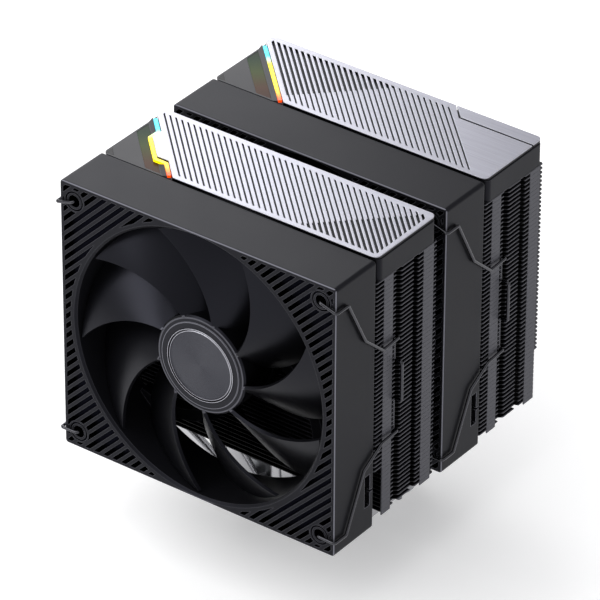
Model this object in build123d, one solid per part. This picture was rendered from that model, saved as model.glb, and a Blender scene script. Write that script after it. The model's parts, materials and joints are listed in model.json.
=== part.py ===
from build123d import *
import math
import os

# CPU tower cooler: two fin towers on seven heat pipes, two fans, two lit covers.
# Millimetres. Origin: centre of the cold plate's contact face. +Z is up, away from
# the processor. Air enters the front fan at -Y and leaves the rear tower at +Y.

# ---------------------------------------------------------------- driving sizes
overall_height = 158.0

tower_gap = 4.9
fin_width = 129.0
fin_depth = 39.2
fin_thickness = 0.4
fin_pitch = 1.912
fin_count = 56
short_fin_count = 11
short_fin_cut_front = 5.1
short_fin_cut_rear = 2.3
fin_corner = 0.6

tab_thickness = 0.4
tab_gap = 0.1
front_tab = (5.2, 10.9)
rear_tab_inset = 2.3
rear_tab_width = 6.5
groove_start = 12.7
groove_end = 16.4
groove_depth = 4.6
notch_width = 3.1
notch_bottom = 1.0
notch_inset = 12.2
notch_depth = 6.0

fan_width = 130.0
fan_height = 120.0
fan_depth = 25.0
fan_gap = 0.9
fan_below_top = 0.7
fan_hole_inset_x = 6.9
fan_hole_inset_z = 7.5
fan_hole_radius = 2.6
fan_rim = 1.6
fan_wall = 1.8
flange_thickness = 4.0
blade_count = 9
blade_tip_gap = 0.8
hub_radius = 21.0
hub_front = 2.0
shaft_radius = 1.5
bearing_clearance = 0.03
glue_gap = 0.05

pipe_count = 7
pipe_radius = 3.0
pipe_bend = 9.0
pipe_web = 0.6
pipe_side_inset = 24.0
pipe_row = 5.5
solder_gap = 0.05

base_margin = 7.2
base_depth = 38.0
plate_thickness = 7.0
block_thickness = 8.0
bar_end = 6.0
bar_width = 14.0
bar_thickness = 3.0
screw_inset = 7.5
screw_travel = 4.0

clip_wire = 0.65
clip_bend = 1.0
clip_gap = 0.3

skirt_height = 9.9
cover_plate = 1.0
cover_gap = 0.8
cover_wall = 1.6
slot_pitch = 2.92
slot_narrow = 0.65
slot_wide = 1.1

# ---------------------------------------------------------------- worked out
tower_offset = (fin_depth + fan_gap + fan_depth + tower_gap) / 2
pipe_pitch_base = 2 * pipe_radius + pipe_web
pipe_pitch_tower = (fin_width - 2 * pipe_side_inset) / (pipe_count - 1)
base_width = (pipe_count - 1) * pipe_pitch_base + 2 * (pipe_radius + base_margin)
screw_spacing = base_width + 2 * screw_inset
pipe_axis_z = plate_thickness
block_top = plate_thickness + block_thickness
bar_top = block_top + bar_thickness
fin_top = overall_height - cover_plate - cover_gap - skirt_height
fin_lowest = fin_top - fin_thickness - (fin_count - 1) * fin_pitch
fin_floor = fin_lowest - (fin_pitch - fin_thickness - tab_gap)
half_width = fin_width / 2
half_depth = fin_depth / 2
rear_tab_end = fin_depth - rear_tab_inset
rear_tab = (rear_tab_end - rear_tab_width, rear_tab_end)
notch_end = fin_depth - notch_inset
notch_start = notch_end - notch_width
notch_floor = notch_start + notch_bottom
fan_hole_x = fan_width / 2 - fan_hole_inset_x
fan_hole_z = fan_height / 2 - fan_hole_inset_z
fan_bore_radius = min(fan_width, fan_height) / 2 - fan_rim
fan_z = overall_height - fan_below_top - fan_height / 2
fan_fronts = {
    "front": -tower_offset - half_depth - fan_gap - fan_depth,
    "rear": tower_offset - half_depth - fan_gap - fan_depth,
}
towers = {"front": -tower_offset, "rear": tower_offset}
root2 = math.sqrt(2)


# ---------------------------------------------------------------- helpers
def block(x0, x1, y0, y1, z0, z1):
    """A box between two opposite corners."""
    centre = Pos((x0 + x1) / 2, (y0 + y1) / 2, (z0 + z1) / 2)
    return centre * Box(x1 - x0, y1 - y0, z1 - z0)


def disc(radius, z0, z1):
    """A round bar along Z."""
    return Pos(0, 0, (z0 + z1) / 2) * Cylinder(radius, z1 - z0)


def ring(inner, outer, z0, z1):
    """A plain ring along Z."""
    return disc(outer, z0, z1) - disc(inner, z0, z1)


def prism(points, z0, z1):
    """A closed outline in plan, drawn from z0 up to z1."""
    face = make_face(Polyline(*points, close=True))
    return Pos(0, 0, z0) * extrude(face, z1 - z0)


def turned(points):
    """A closed outline of (radius, z) points, spun about Z."""
    outline = [(radius, 0, z) for radius, z in points]
    return revolve(make_face(Polyline(*outline, close=True)), Axis.Z)


def wire(points, radius, bend):
    """A round wire or pipe along straight runs joined by tangent arcs."""
    path = FilletPolyline(*points, radius=bend)
    section = Plane(origin=path @ 0, z_dir=path % 0) * Circle(radius)
    return sweep(section, path=path)


def save(name, shapes):
    """Write one node: a single solid, or a group of separate ones."""
    solids = []
    for shape in shapes if isinstance(shapes, list) else [shapes]:
        solids += list(shape.solids())
    part = solids[0] if len(solids) == 1 else Compound(children=solids)
    export_step(part, os.path.join("parts", name + ".step"))


# ---------------------------------------------------------------- base
block_screw_x = base_width / 2 - 3.6
block_screw_y = base_depth / 2 - 3.6
m3_head = 2.75
m3_head_height = 3.0
m3_shank = 1.5
bar_screw_x = 16.5


def base_positions():
    return [(sx * block_screw_x, sy * block_screw_y) for sx in (-1, 1) for sy in (-1, 1)]


def cap_screw(x, y, seat, length):
    """A socket-head M3 screw, its head standing on the given height."""
    head = disc(m3_head, seat, seat + m3_head_height)
    socket = extrude(Pos(0, 0, seat + m3_head_height - 1.5) * RegularPolygon(1.35, 6), 2)
    return Pos(x, y, 0) * (head - socket + disc(m3_shank, seat - length, seat))


def pipe_x(index, pitch):
    return (index - (pipe_count - 1) / 2) * pitch


def pipe_y_offset(index):
    """Pipes stand in two staggered rows in each tower."""
    return pipe_row if index % 2 else -pipe_row


def channels():
    """Round channels along Y that the pipes are soldered into."""
    radius = pipe_radius + solder_gap
    bar = Rot(90, 0, 0) * Cylinder(radius, base_depth + 2)
    return [Pos(pipe_x(i, pipe_pitch_base), 0, pipe_axis_z) * bar for i in range(pipe_count)]


def make_base():
    block_screw_length = block_thickness + plate_thickness - 3
    counterbore = m3_head_height + 0.3
    half_x = base_width / 2
    half_y = base_depth / 2
    plate = block(-half_x, half_x, -half_y, half_y, 0, plate_thickness)
    plate = chamfer(plate.edges().filter_by(Axis.Z), 2.0)
    plate = chamfer(plate.faces().sort_by(Axis.Z)[0].edges(), 0.4)
    top = block(-half_x, half_x, -half_y, half_y, plate_thickness, block_top)
    top = chamfer(top.edges().filter_by(Axis.Z), 2.0)
    top = chamfer(top.faces().sort_by(Axis.Z)[-1].edges(), 0.8)
    seat = block_top - counterbore
    screws = [cap_screw(x, y, seat, block_screw_length - counterbore) for x, y in base_positions()]
    hole = m3_shank + glue_gap
    for x, y in base_positions():
        top -= Pos(x, y, 0) * disc(m3_head + 0.3, seat, block_top + 1)
        top -= Pos(x, y, 0) * disc(hole, plate_thickness - 1, block_top)
        plate -= Pos(x, y, 0) * disc(hole, block_top - block_screw_length - 0.5, plate_thickness + 1)
    bar_screw_depth = 3.0
    for sign in (-1, 1):
        top -= Pos(sign * bar_screw_x, 0, 0) * disc(hole, block_top - bar_screw_depth - 0.5, block_top + 1)
    top -= channels()
    plate -= channels()
    save("cold_plate", plate)
    save("pipe_block", top)
    save("block_screws", screws)
    bar_screws = [
        cap_screw(sign * bar_screw_x, 0, bar_top, bar_thickness + bar_screw_depth) for sign in (-1, 1)
    ]
    save("bar_screws", bar_screws)


def make_pipes():
    """Seven U-shaped pipes: through the base along Y, out and up into both towers."""
    lean_start = base_depth / 2 + pipe_bend + 0.5
    upright_from = fin_floor - 3.5
    tip = fin_top + 6.7
    for index in range(pipe_count):
        x_base = pipe_x(index, pipe_pitch_base)
        x_tower = pipe_x(index, pipe_pitch_tower)
        offset = pipe_y_offset(index)
        front = -tower_offset + offset
        rear = tower_offset + offset
        path = [
            (x_tower, front, tip),
            (x_tower, front, upright_from),
            (x_base, -lean_start, pipe_axis_z),
            (x_base, lean_start, pipe_axis_z),
            (x_tower, rear, upright_from),
            (x_tower, rear, tip),
        ]
        save(f"heat_pipe_{index + 1}", wire(path, pipe_radius, pipe_bend))


# ---------------------------------------------------------------- fin towers
def fin_side(front, rear):
    """Right-hand edge of a fin from front to rear, with the clip groove and the notch."""
    edge = half_width
    return [
        (edge - fin_corner, front),
        (edge, front + fin_corner),
        (edge, groove_start - half_depth),
        (edge - groove_depth, groove_start - half_depth),
        (edge, groove_end - half_depth),
        (edge, notch_start - half_depth),
        (edge - notch_depth, notch_start - half_depth),
        (edge - notch_depth, notch_floor - half_depth),
        (edge, notch_end - half_depth),
        (edge, rear - fin_corner),
        (edge - fin_corner, rear),
    ]


def make_fin(front, rear):
    """One fin, with the four tabs folded down that close the tower's sides."""
    right = fin_side(front, rear)
    left = [(-x, y) for x, y in reversed(right)]
    fin = prism(right + left, 0, fin_thickness)
    for index in range(pipe_count):
        at = Pos(pipe_x(index, pipe_pitch_tower), pipe_y_offset(index), 0)
        fin -= at * disc(pipe_radius + solder_gap, -1, fin_thickness + 1)
    drop = fin_pitch - fin_thickness - tab_gap
    for start, end in (front_tab, rear_tab):
        for x0, x1 in ((half_width - tab_thickness, half_width), (-half_width, tab_thickness - half_width)):
            fin += block(x0, x1, start - half_depth, end - half_depth, -drop, 0.1)
    return fin


def make_fins():
    full = make_fin(-half_depth, half_depth)
    short = {
        "front": make_fin(-half_depth + short_fin_cut_front, half_depth),
        "rear": make_fin(-half_depth, half_depth - short_fin_cut_rear),
    }
    for name, y in towers.items():
        fins = []
        for index in range(fin_count):
            is_short = index >= fin_count - short_fin_count
            fin = short[name] if is_short else full
            fins.append(Pos(0, y, fin_top - fin_thickness - index * fin_pitch) * fin)
        save(f"fins_{name}", fins)


# ---------------------------------------------------------------- covers
# In a cover's own plan, y runs from the tower's centre. The slots, the light bar and
# the smoked strip all run at 45 degrees along lines of constant x + y.
plate_front = -half_depth - 0.2
plate_rear = half_depth - 1.0
plate_corner = 2.5
tray_front = -half_depth + 1.5
tray_rear = half_depth - 0.7
tray_middle = (tray_front + tray_rear) / 2
plinth_inset = 2.0
corner_line = plate_front - half_width
edge_line = corner_line + 33.7
bar_line = edge_line - 1.5
bar_glass = 1.5
strip_high = edge_line - 5.6
strip_low = edge_line - 13.0
tip_line = corner_line + 5.8
tab_left = -half_width + 9.4
tab_right = plate_front + 8.8
tab_line = edge_line - 5.5
corner_cut_x = half_width - 34.0
corner_cut_y = plate_rear - 6.3
corner_groove = 1.0
slot_first = edge_line + 3.4
slot_field_front = plate_front + 2.2
slot_field_rear = plate_rear - 2.6
slot_field_right = half_width - 1.8
slot_last_rear = corner_cut_x + corner_cut_y - 4.4
wide_line_front = half_width - plate_front - 39.6
wide_line_rear = 65.3 - half_width - plate_rear
panel_thickness = 0.6
plate_bottom = overall_height - cover_plate
deck_top = plate_bottom - cover_gap
deck_bottom = deck_top - cover_wall
panel_top = deck_top + panel_thickness
far = 200.0


def line_band(low, high):
    """Flat strip between two lines of constant x + y."""
    strip = Rectangle(2 * far, (high - low) / root2)
    return Rot(0, 0, -45) * (Pos(0, (low + high) / 2 / root2) * strip)


def cross_side(line, side):
    """Flat half-plane beyond a line of constant x - y; side is 1 or -1."""
    strip = Rectangle(far, 2 * far)
    return Rot(0, 0, -45) * (Pos(line / root2 + side * far / 2, 0) * strip)


def flat(x0, x1, y0, y1):
    return Pos((x0 + x1) / 2, (y0 + y1) / 2) * Rectangle(x1 - x0, y1 - y0)


def plan(shape, z0, z1):
    return Pos(0, 0, z0) * extrude(shape, z1 - z0)


def plate_plan():
    middle = (plate_front + plate_rear) / 2
    return Pos(0, middle) * RectangleRounded(fin_width, plate_rear - plate_front, plate_corner)


def tray_plan(inset):
    width = fin_width - 0.2 - 2 * inset
    depth = tray_rear - tray_front - 2 * inset
    return Pos(0, tray_middle) * RectangleRounded(width, depth, max(plate_corner - inset, 0.5))


def corner_plan(margin):
    """Rear right corner behind the shaped groove, grown by a margin."""
    points = [
        (corner_cut_x - (plate_rear - corner_cut_y) - margin * root2, plate_rear + margin),
        (corner_cut_x - margin * (root2 - 1), corner_cut_y - margin),
        (far, corner_cut_y - margin),
        (far, plate_rear + margin),
    ]
    return make_face(Polyline(*points, close=True))


def tab_plan():
    """Tongue of the front plate that reaches across the light bar."""
    points = [
        (tab_left, edge_line - tab_left + 0.5),
        (tab_left, tab_line - tab_left),
        (tab_line - tab_right, tab_right),
        (edge_line - tab_right + 0.5, tab_right),
    ]
    return make_face(Polyline(*points, close=True))


def slots(name):
    """The slanted slots, narrow, and wider in one corner of each plate."""
    field = flat(-half_width + 2.0, slot_field_right, slot_field_front, slot_field_rear)
    if name == "rear":
        field -= corner_plan(2.2)
        last = slot_last_rear
        wide_zone = cross_side(wide_line_rear, -1)
    else:
        last = slot_field_right + slot_field_rear - slot_pitch / 2
        wide_zone = cross_side(wide_line_front, 1)
    cuts = []
    step = 0
    while slot_first + step * slot_pitch <= last:
        low = slot_first + step * slot_pitch
        cuts.append(field & line_band(low, low + slot_narrow * root2))
        wider = low - (slot_wide - slot_narrow) * root2
        cuts.append(field & line_band(wider, low + slot_narrow * root2 / 2) & wide_zone)
        step += 1
    return [face for cut in cuts for face in cut.faces()]


def make_top_plate(name):
    shape = plate_plan() & line_band(edge_line, far)
    if name == "front":
        shape += tab_plan() & plate_plan()
    else:
        shape -= corner_plan(corner_groove)
    shape -= slots(name)
    return plan(shape, plate_bottom, overall_height)


def bar_path(name):
    """Centre line of the light bar: straight, or stepped round the tongue."""
    start = (-half_width + 1.6, bar_line + half_width - 1.6)
    end = (bar_line - plate_front - 0.6, plate_front + 0.6)
    if name == "rear":
        return [start, end]
    outer = tab_line - 1.3
    step_x = tab_left - 0.9
    step_y = tab_right - 1.8
    return [
        start,
        (step_x, bar_line - step_x),
        (step_x, outer - step_x),
        (outer - step_y, step_y),
        (bar_line - step_y, step_y),
        end,
    ]


def bar_plan(name, width):
    return trace(Polyline(*bar_path(name)), line_width=width)


def strip_plan(inset):
    """Window of the smoked strip, kept inside the cover's outer edges."""
    zone = flat(-half_width + 0.8 + inset, far, plate_front + 0.8 + inset, far)
    return line_band(strip_low + inset, strip_high - inset) & zone


def panel_plan():
    """Lower left end of the cover, outside the plate's slanted edge."""
    return plate_plan() & line_band(-far, edge_line - 0.2)


def make_end_panel(name):
    """Left end of the cover: a low panel with a ramp up to the light bar."""
    ramp_low = strip_high + 0.3
    ramp_high = bar_line - bar_glass / root2 - 0.15
    ramp_top = overall_height - 0.4
    panel = plan(panel_plan() - strip_plan(0), deck_top, panel_top)
    profile = [(ramp_low, panel_top - 0.05), (ramp_high, panel_top - 0.05), (ramp_high, ramp_top)]
    points = [(0, line / root2, z) for line, z in profile]
    wedge = make_face(Polyline(*points, close=True))
    ramp = Rot(0, 0, -45) * (Pos(-far, 0, 0) * extrude(wedge, 2 * far, dir=(1, 0, 0)))
    ramp &= plan(panel_plan(), deck_top, overall_height)
    if name == "front":
        keep_out = bar_plan(name, bar_glass + 0.3) + tab_plan()
        keep_out += flat(tab_left - 1.0, tab_line - tab_right + 1.0, tab_right - 2.8, far)
        ramp -= plan(keep_out, panel_top, overall_height)
    tip = panel_plan() & line_band(-far, tip_line)
    tip = tip & flat(-half_width + 0.8, far, plate_front + 0.8, far)
    return panel + ramp - plan(tip, panel_top - 0.3, panel_top + 1), plan(tip, panel_top - 0.3, panel_top)


def make_tray(name):
    """Skirt and deck, with sockets that grip the pipe tips and a light window."""
    tray = plan(tray_plan(0), fin_top, deck_top)
    tray = chamfer(tray.faces().sort_by(Axis.Z)[-1].edges(), 0.5)
    tray -= plan(tray_plan(cover_wall), fin_top - 1, deck_bottom)
    inside = RectangleRounded(fin_width - 2 * plinth_inset, plate_rear - plate_front - 5.0, 1.0)
    plinth = (Pos(0, tray_middle) * inside) & line_band(edge_line + 0.8, far)
    tray += plan(plinth, deck_top, plate_bottom)
    window = strip_plan(0.6) & tray_plan(cover_wall + 0.8)
    tray -= plan(window, deck_bottom - 1, deck_top + 1)
    socket_floor = fin_top + 3.5
    for index in range(pipe_count):
        at = Pos(pipe_x(index, pipe_pitch_tower), pipe_y_offset(index), 0)
        tray += at * ring(pipe_radius + solder_gap, pipe_radius + 1.2, socket_floor, deck_bottom + 0.1)
    return tray


def make_led_board():
    """Strip of circuit board under the window, with its row of small lights."""
    led_count = 5
    led_spacing = 3.6
    led_half = 1.2
    board_half_length = 9.0
    board_half_width = 2.5
    board_top = deck_bottom - 0.4
    centre_line = (strip_low + strip_high) / 2
    board = block(
        -board_half_length, board_half_length, -board_half_width, board_half_width, board_top - 1.0, board_top
    )
    for index in range(led_count):
        x = (index - (led_count - 1) / 2) * led_spacing
        board += block(x - led_half, x + led_half, -led_half, led_half, board_top - 0.05, board_top + 0.8)
    along = -(half_width + plate_front) / root2
    return Rot(0, 0, -45) * (Pos(along, centre_line / root2, 0) * board)


def make_covers():
    tips = []
    for name, y in towers.items():
        place = Pos(0, y, 0)
        panel, tip = make_end_panel(name)
        tips.append(place * tip)
        save(f"cover_tray_{name}", place * make_tray(name))
        save(f"top_plate_{name}", place * make_top_plate(name))
        save(f"end_panel_{name}", place * panel)
        strip = plan(strip_plan(0.1), deck_top, panel_top - 0.1)
        save(f"smoked_strip_{name}", place * strip)
        glass = plan(bar_plan(name, bar_glass), panel_top, overall_height - 0.2)
        save(f"light_bar_{name}", place * glass)
        save(f"led_board_{name}", place * make_led_board())
    save("corner_tips", tips)
    corner = plan(corner_plan(0) & plate_plan(), plate_bottom, overall_height)
    save("rear_corner_plate", Pos(0, towers["rear"], 0) * corner)


# ---------------------------------------------------------------- fans
# A fan is drawn about Z, its front face at z = 0 and its depth below that, then stood up.
shroud_radius = fan_bore_radius + fan_wall
rib_rim = 1.5
stripe_pitch = 3.13
stripe_width = 1.72
stripe_depth = flange_thickness - 1.0
boss_ring = 4.65
base_rim = 1.4
base_top = fan_depth - 4.6
base_floor = fan_depth - 1.6
bearing_tube = 4.0
bearing_wall = 1.2
strut_count = 4
strut_width = 5.0
hub_wall = 1.4
cup_front = hub_front + 2.75
cup_wall = 0.8
cup_radius = hub_radius - hub_wall - glue_gap
boss_end = cup_front + 2.75
bearing_top = boss_end + 1.0
cap_radius = hub_radius - 5.2
magnet_radius = cup_radius - cup_wall - glue_gap
magnet_thickness = 1.7
air_gap = 0.6
pole_reach = magnet_radius - magnet_thickness - air_gap
coil_top = cup_front + cup_wall + 2.15
coil_end = base_top - 4.1
coil_height = 1.8
core_radius = 7.6
pole_width = 4.0
slot_z = (11.7 - fan_height / 2, 25.9 - fan_height / 2)
slot_depth = (fan_depth - 5.65, fan_depth - 2.3)
slit_z = 18.1 - fan_height / 2
slit_width = 1.0
post_size = 5.0


def stand_fan(name):
    return Pos(0, fan_fronts[name], fan_z) * Rot(90, 0, 0)


def corners():
    return [(sx, sy) for sx in (-1, 1) for sy in (-1, 1)]


def stripe_cuts():
    """Slanted slots in the four corners, outside the rim and the screw bosses."""
    field = Rectangle(fan_width - 2 * rib_rim, fan_height - 2 * rib_rim)
    field -= Circle(shroud_radius + 0.7)
    for sx, sy in corners():
        field -= Pos(sx * fan_hole_x, sy * fan_hole_z) * Circle(boss_ring + 0.2)
    faces = []
    reach = int((fan_width + fan_height) / 2 / root2 / stripe_pitch)
    for step in range(-reach, reach + 1):
        bar = Rectangle(2 * far, stripe_width)
        stripe = Rot(0, 0, 45) * (Pos(0, step * stripe_pitch) * bar)
        faces += (field & stripe).faces()
    return [face for face in faces if face.area > 1.0]


def polar(radius, degrees):
    angle = math.radians(degrees)
    return (radius * math.cos(angle), radius * math.sin(angle))


def strut(turn):
    """Swept arm from the motor base to the shroud."""
    start, end = hub_radius - 1.0, fan_bore_radius + 0.8
    middle = (start + end) / 2
    points = [polar(radius, 9.6 - 1.51 * (radius - hub_radius) + turn) for radius in (start, middle, end)]
    arm = trace(ThreePointArc(*points), line_width=strut_width)
    return plan(arm, -fan_depth, -base_top - 0.4)


def make_frame():
    """Fan housing: flanges, round shroud, corner posts, motor base and arms."""
    frame = Pos(0, 0, -fan_depth / 2) * Box(fan_width, fan_height, fan_depth)
    frame = fillet(frame.edges().filter_by(Axis.Z), 1.5)
    frame = fillet(frame.faces().sort_by(Axis.Z)[-1].edges(), 0.7)
    frame = fillet(frame.faces().sort_by(Axis.Z)[0].edges(), 0.7)
    frame -= disc(fan_bore_radius, -fan_depth - 1, 1)
    flare = 1.0
    mouth = turned([(0, 0.1), (fan_bore_radius + flare, 0.1), (fan_bore_radius + flare, 0),
                    (fan_bore_radius, -flare), (0, -flare)])
    frame -= mouth
    frame -= Pos(0, 0, -fan_depth) * Rot(180, 0, 0) * mouth
    pocket = Rectangle(fan_width - 2 * fan_wall, fan_height - 2 * fan_wall) - Circle(shroud_radius)
    for sx, sy in corners():
        inner_x = fan_hole_x - post_size
        inner_z = fan_hole_z - post_size
        pocket -= Pos(sx * (inner_x + 10), sy * (inner_z + 10)) * Rectangle(20, 20)
    frame -= plan(pocket, -fan_depth - 1, -flange_thickness)
    frame -= plan(Sketch() + stripe_cuts(), -stripe_depth, 1)
    for sx, sy in corners():
        at = Pos(sx * fan_hole_x, sy * fan_hole_z, 0)
        frame -= at * disc(fan_hole_radius, -fan_depth - 1, 1)
        frame -= at * ring(3.5, 4.2, -0.8, 1)
    window = block(fan_width / 2 - fan_wall - 1, fan_width / 2 + 1, *slot_z, -slot_depth[1], -slot_depth[0])
    slit = block(
        fan_width / 2 - fan_wall - 1,
        fan_width / 2 + 1,
        slit_z - slit_width / 2,
        slit_z + slit_width / 2,
        -fan_depth - 1,
        -slot_depth[0],
    )
    frame -= window + slit
    motor = disc(hub_radius, -fan_depth, -base_top) - disc(hub_radius - base_rim, -base_floor, 0)
    motor += ring(bearing_tube, bearing_tube + bearing_wall, -base_floor - 0.1, -bearing_top)
    motor += ring(bearing_tube, bearing_tube + 3.0, -base_floor - 0.1, -base_top - 0.2)
    arms = [strut(turn * 360 / strut_count) for turn in range(strut_count)]
    cavity = disc(hub_radius - base_rim, -base_floor, 0)
    for arm in arms:
        frame += arm - cavity
    return frame + motor


def blade_point(radius, across):
    """A point of the blade's middle surface; across runs from -1, trailing, to 1."""
    share = (radius - hub_radius) / (fan_bore_radius - hub_radius)
    middle = 18.6 + 34.0 * share
    half_turn = 18.1
    rise = (fan_depth - 9.0) / 2 - 0.9 * share
    camber = 1.3 * (1 - across * across)
    x, y = polar(radius, middle + half_turn * across)
    return Vector(x, y, -(2.9 + rise) + rise * across + camber)


def make_blade():
    """One curved blade: a smooth surface given its thickness, cut to the tip circle."""
    thickness = 1.4
    rows = []
    row_count = 7
    column_count = 7
    inner = hub_radius - 1.4
    outer = fan_bore_radius + 3.0
    across = [2 * column / (column_count - 1) - 1 for column in range(column_count)]
    for row in range(row_count):
        radius = inner + (outer - inner) * row / (row_count - 1)
        rows.append([blade_point(radius, share) for share in across])
    sheet = Face.make_surface_from_array_of_points(rows)
    solid = Solid.thicken(sheet, thickness)
    return solid & ring(hub_radius - 0.8, fan_bore_radius - blade_tip_gap, -fan_depth, 1)


def make_impeller():
    """Hub and blades in one moulding."""
    hub_end = base_top - 2.0
    front = -hub_front
    profile = [
        (0, front - 0.9),
        (cap_radius + 0.1, front - 0.9),
        (cap_radius + 0.1, front),
        (cap_radius + 2.5, front),
        (cap_radius + 2.5, front - 0.5),
        (hub_radius - 0.8, front - 0.5),
        (hub_radius, front - 1.3),
        (hub_radius, -hub_end),
        (hub_radius - hub_wall, -hub_end),
        (hub_radius - hub_wall, glue_gap - cup_front),
        (0, glue_gap - cup_front),
    ]
    impeller = turned(profile)
    blade = make_blade()
    for index in range(blade_count):
        impeller += Rot(0, 0, index * 360 / blade_count) * blade
    return impeller


def make_motor_parts():
    """Everything inside the hub, as (node name, shape) pairs."""
    cup_end = base_top - 2.4
    bore = shaft_radius + 0.01
    cup = turned([
        (bore, -cup_front),
        (cup_radius, -cup_front),
        (cup_radius, -cup_end),
        (cup_radius - cup_wall, -cup_end),
        (cup_radius - cup_wall, -cup_front - cup_wall),
        (4.0, -cup_front - cup_wall),
        (4.0, -boss_end),
        (bore, -boss_end),
    ])
    magnet = ring(magnet_radius - magnet_thickness, magnet_radius, -coil_end - 0.7, 1.2 - coil_top)
    cap = disc(cap_radius, -hub_front - 0.85, -hub_front + 0.2)
    cap = chamfer(cap.faces().sort_by(Axis.Z)[-1].edges(), 0.3)
    shaft_end = base_floor - 1.5
    shaft = disc(shaft_radius, -shaft_end, -cup_front - 0.1)
    bearing = ring(shaft_radius + bearing_clearance, bearing_tube - glue_gap, 0.3 - shaft_end, -bearing_top)
    return [
        ("hub_cap", cap),
        ("rotor_cup", cup),
        ("magnet_ring", magnet),
        ("motor_shaft", shaft),
        ("bearing", bearing),
        ("stator_core", make_stator()),
        ("windings", make_windings()),
        ("motor_board", make_motor_board()),
    ]


def make_stator():
    """Laminated four-pole core on the bearing tube."""
    shoe_thickness = 2.0
    arm_length = pole_reach - shoe_thickness / 2
    core = Circle(core_radius)
    shoes = Circle(pole_reach) - Circle(pole_reach - shoe_thickness)
    for quarter in range(4):
        turn = Rot(0, 0, 90 * quarter)
        core += turn * (Pos(arm_length / 2, 0) * Rectangle(arm_length, pole_width))
    gap = Sketch()
    for quarter in range(4):
        gap += Rot(0, 0, 45 + 90 * quarter) * (Pos(pole_reach, 0) * Rectangle(12, 4.0))
    core += shoes - gap
    core -= Circle(bearing_tube + bearing_wall + glue_gap)
    return plan(core, coil_height - coil_end, -coil_height - coil_top)


def make_windings():
    """Four wound coils, one round each pole of the core."""
    fit = 0.1
    half = pole_width / 2 + 2.4
    coil = block(core_radius + 0.7, pole_reach - 3.1, -half, half, -coil_end, -coil_top)
    coil = fillet(coil.edges().filter_by(Axis.X), 1.2)
    half = pole_width / 2 + fit
    coil -= block(0, pole_reach, -half, half, coil_height - coil_end - fit, fit - coil_height - coil_top)
    return [Rot(0, 0, 90 * quarter) * coil for quarter in range(4)]


def make_motor_board():
    """Round board over the motor base, with its driver chip."""
    inner = bearing_tube + bearing_wall + 0.1
    outer = hub_radius - base_rim - 0.6
    board = ring(inner, outer, -base_top - 0.2, -base_top + 0.8)
    return board + block(inner + 3.7, outer - 6.0, -2.5, 2.5, -base_top + 0.8, -base_top + 1.9)


def make_fans():
    frame = make_frame()
    impeller = make_impeller()
    motor = make_motor_parts()
    pads = []
    pad_height = (fan_hole_z - 30.5, fan_hole_z - 16.5)
    pad_x = (fan_hole_x - 4.1, fan_hole_x + 3.9)
    for name in towers:
        stand = stand_fan(name)
        save(f"fan_frame_{name}", stand * frame)
        save(f"impeller_{name}", stand * impeller)
        for node, shape in motor:
            pieces = shape if isinstance(shape, list) else [shape]
            save(f"{node}_{name}", [stand * piece for piece in pieces])
        for sx, sy in corners():
            x0, x1 = sorted((sx * pad_x[0], sx * pad_x[1]))
            y0, y1 = sorted((sy * pad_height[0], sy * pad_height[1]))
            pads.append(stand * block(x0, x1, y0, y1, -fan_depth - fan_gap, -fan_depth))
    save("fan_pads", pads)


# ---------------------------------------------------------------- fan clips
clip_stub = 3.0
clip_side_run = 6.4
clip_knee_y = 17.4
# Heights from the fan's centre, for the clip's upper and lower half.
clip_edge_z = (fan_hole_z - 2.3, -fan_hole_z - 0.3)
clip_knee_z = (29.1, -29.6)
clip_arm_z = (19.0, -23.0)
clip_handle_z = (8.3, -9.0)
clip_handle_x = half_width + 2.6
clip_groove_gap = 0.35
clip_groove_depth = 1.3


def clip_half(front, lower):
    """Centre line of half a right-hand clip, from its hole to the handle."""
    before = front - clip_wire - clip_gap
    side = max(fan_width, fin_width) / 2 + clip_wire + clip_gap
    over = half_width + clip_wire + clip_gap
    groove_x = half_width - clip_groove_depth
    tower = front + fan_depth + fan_gap
    groove_y = tower + groove_start + clip_wire + clip_groove_gap
    hole_z = -fan_hole_z if lower else fan_hole_z
    return [
        (fan_hole_x, front + clip_stub, hole_z),
        (fan_hole_x, before, hole_z),
        (side, before, clip_edge_z[lower]),
        (side, front + clip_side_run, clip_edge_z[lower]),
        (side, front + clip_knee_y, clip_knee_z[lower]),
        (side, tower + front_tab[0] - 2.3, clip_arm_z[lower]),
        (over, groove_y, clip_arm_z[lower]),
        (groove_x, groove_y, clip_arm_z[lower]),
        (groove_x, groove_y, clip_handle_z[lower]),
        (clip_handle_x, groove_y, clip_handle_z[lower]),
    ]


def make_clips():
    for name in towers:
        front = fan_fronts[name]
        points = clip_half(front, 0) + clip_half(front, 1)[::-1]
        right = Pos(0, 0, fan_z) * wire(points, clip_wire, clip_bend)
        save(f"clip_{name}_right", right)
        save(f"clip_{name}_left", mirror(right, about=Plane.YZ))


# ---------------------------------------------------------------- mounting
screw_x = screw_spacing / 2
screw_shank = 3.0
screw_running = 0.06
screw_thread = 1.5
screw_tip = 8.5
screw_head_radius = 5.3
screw_head_height = 5.5
spring_wire = 0.5
spring_turns = 5.5
spring_solid = (spring_turns + 1) * 2 * spring_wire
screw_head_bottom = bar_top + spring_solid + screw_travel + 0.5
retainer_thickness = 0.9
retainer_gap = 0.1
thread_top = block_top - 2.5


def make_mounting_bar():
    """Flat steel bar across the base, holding the two sprung screws."""
    half = screw_x + bar_end
    bar = block(-half, half, -bar_width / 2, bar_width / 2, block_top, bar_top)
    bar = fillet(bar.edges().filter_by(Axis.Z), bar_width / 2 - 0.5)
    for sign in (-1, 1):
        bar -= Pos(sign * screw_x, 0, 0) * disc(screw_shank + screw_running, 0, bar_top + 1)
        bar -= Pos(sign * bar_screw_x, 0, 0) * disc(m3_shank + glue_gap, 0, bar_top + 1)
    return bar


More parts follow.
